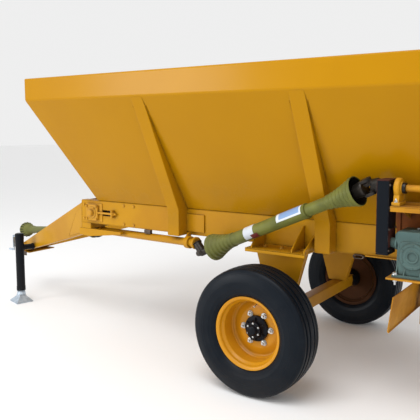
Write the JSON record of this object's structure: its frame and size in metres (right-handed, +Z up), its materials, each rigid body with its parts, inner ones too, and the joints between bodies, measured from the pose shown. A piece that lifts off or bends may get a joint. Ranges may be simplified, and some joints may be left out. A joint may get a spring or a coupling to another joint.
{
  "type": "towed manure spreader",
  "caption": "Towed manure spreader: open V hopper with a floor conveyor, sliding rear gate, beater and spinning discs, driven along its left side by a shaft from the tractor.",
  "frame": {"origin": "on the ground under the middle of the machine's overall box", "axes": "+X towards the rear, the drawbar points along -X; +Y towards the machine's right side; +Z up"},
  "size_m": [4.7122, 1.86, 1.935],
  "materials": {
    "yellow_paint": "glossy golden-yellow machinery enamel, dusty at the rear",
    "black_paint": "black enamel, satin",
    "gearbox_paint": "grey-green gearbox enamel over rough castings",
    "guard_plastic": "olive-yellow moulded shaft guard, ribbed cones",
    "dark_steel": "greasy dark steel with surface rust",
    "zinc_plate": "bright zinc plating, slightly dull",
    "tyre_rubber": "blue-black rubber with ribbed tread, light dust"
  },
  "bodies": {
    "machine": {"axle_beam": "yellow_paint", "axle_mount_left": "yellow_paint", "axle_mount_right": "yellow_paint", "beater_gearbox": "gearbox_paint", "beater_housing": "yellow_paint", "belt_case": "black_paint", "chain_case": "black_paint", "chassis_rail_left": "yellow_paint", "chassis_rail_right": "yellow_paint", "conveyor_floor": "yellow_paint", "conveyor_gearbox": "gearbox_paint", "conveyor_shaft_front": "dark_steel", "conveyor_shaft_rear": "dark_steel", "conveyor_slats": "dark_steel", "crossmember_front": "yellow_paint", "crossmember_rear": "yellow_paint", "disc_drive": "gearbox_paint", "drawbar": "yellow_paint", "gate_guides": "yellow_paint", "gearbox_shelf": "yellow_paint", "hopper_front": "yellow_paint", "hopper_rear": "yellow_paint", "hopper_side_left": "yellow_paint", "hopper_side_right": "yellow_paint", "input_shaft": "dark_steel", "input_shaft_guard": "guard_plastic", "lower_shaft_tube": "yellow_paint", "rib_front_left": "yellow_paint", "rib_front_right": "yellow_paint", "rib_rear_left": "yellow_paint", "rib_rear_right": "yellow_paint", "side_shaft": "dark_steel", "side_shaft_guard": "guard_plastic", "spinner_apron": "yellow_paint", "spinner_frame": "yellow_paint", "upper_shaft_shelf": "yellow_paint"},
    "wheel_left": {"tyre_left": "tyre_rubber", "rim_left": "yellow_paint", "hub_left": "black_paint"},
    "wheel_right": {"tyre_right": "tyre_rubber", "rim_right": "yellow_paint", "hub_right": "black_paint"},
    "spreading_disc_left": {"disc_left": "yellow_paint"},
    "spreading_disc_right": {"disc_right": "yellow_paint"},
    "beater": {"beater_rotor": "yellow_paint"},
    "gate": {"rear_gate": "yellow_paint"},
    "jack": {"jack_tube": "black_paint", "jack_crank": "zinc_plate"},
    "jack_leg": {"jack_leg": "zinc_plate"}
  },
  "joints": [
    {"name": "wheel_left_spin", "type": "hinge", "parent": "machine", "child": "wheel_left", "pos_m": [0.806, -0.78, 0.386], "axis": [0, 1, 0], "continuous": true},
    {"name": "wheel_right_spin", "type": "hinge", "parent": "machine", "child": "wheel_right", "pos_m": [0.806, 0.78, 0.386], "axis": [0, 1, 0], "continuous": true},
    {"name": "disc_left_spin", "type": "hinge", "parent": "machine", "child": "spreading_disc_left", "pos_m": [2.046, -0.36, 0.6], "axis": [0, 0, 1], "continuous": true},
    {"name": "disc_right_spin", "type": "hinge", "parent": "machine", "child": "spreading_disc_right", "pos_m": [2.046, 0.36, 0.6], "axis": [0, 0, 1], "continuous": true},
    {"name": "beater_spin", "type": "hinge", "parent": "machine", "child": "beater", "pos_m": [2.076, 0, 1.27], "axis": [0, 1, 0], "continuous": true},
    {"name": "gate_slide", "type": "slide", "parent": "machine", "child": "gate", "axis": [0.3037, 0, 0.9528], "range_m": [0, 0.3]},
    {"name": "jack_swivel", "type": "hinge", "parent": "machine", "child": "jack", "pos_m": [-2.016, -0.313, 0.5], "axis": [-0.2676, -0.9635, 0], "range_deg": [0, 90]},
    {"name": "jack_leg_slide", "type": "slide", "parent": "jack", "child": "jack_leg", "axis": [0, 0, -1], "range_m": [0, 0.2]}
  ],
  "couplings": [
    {"joint": "disc_right_spin", "follows": "disc_left_spin", "ratio": -1},
    {"joint": "beater_spin", "follows": "disc_left_spin", "ratio": 1}
  ]
}
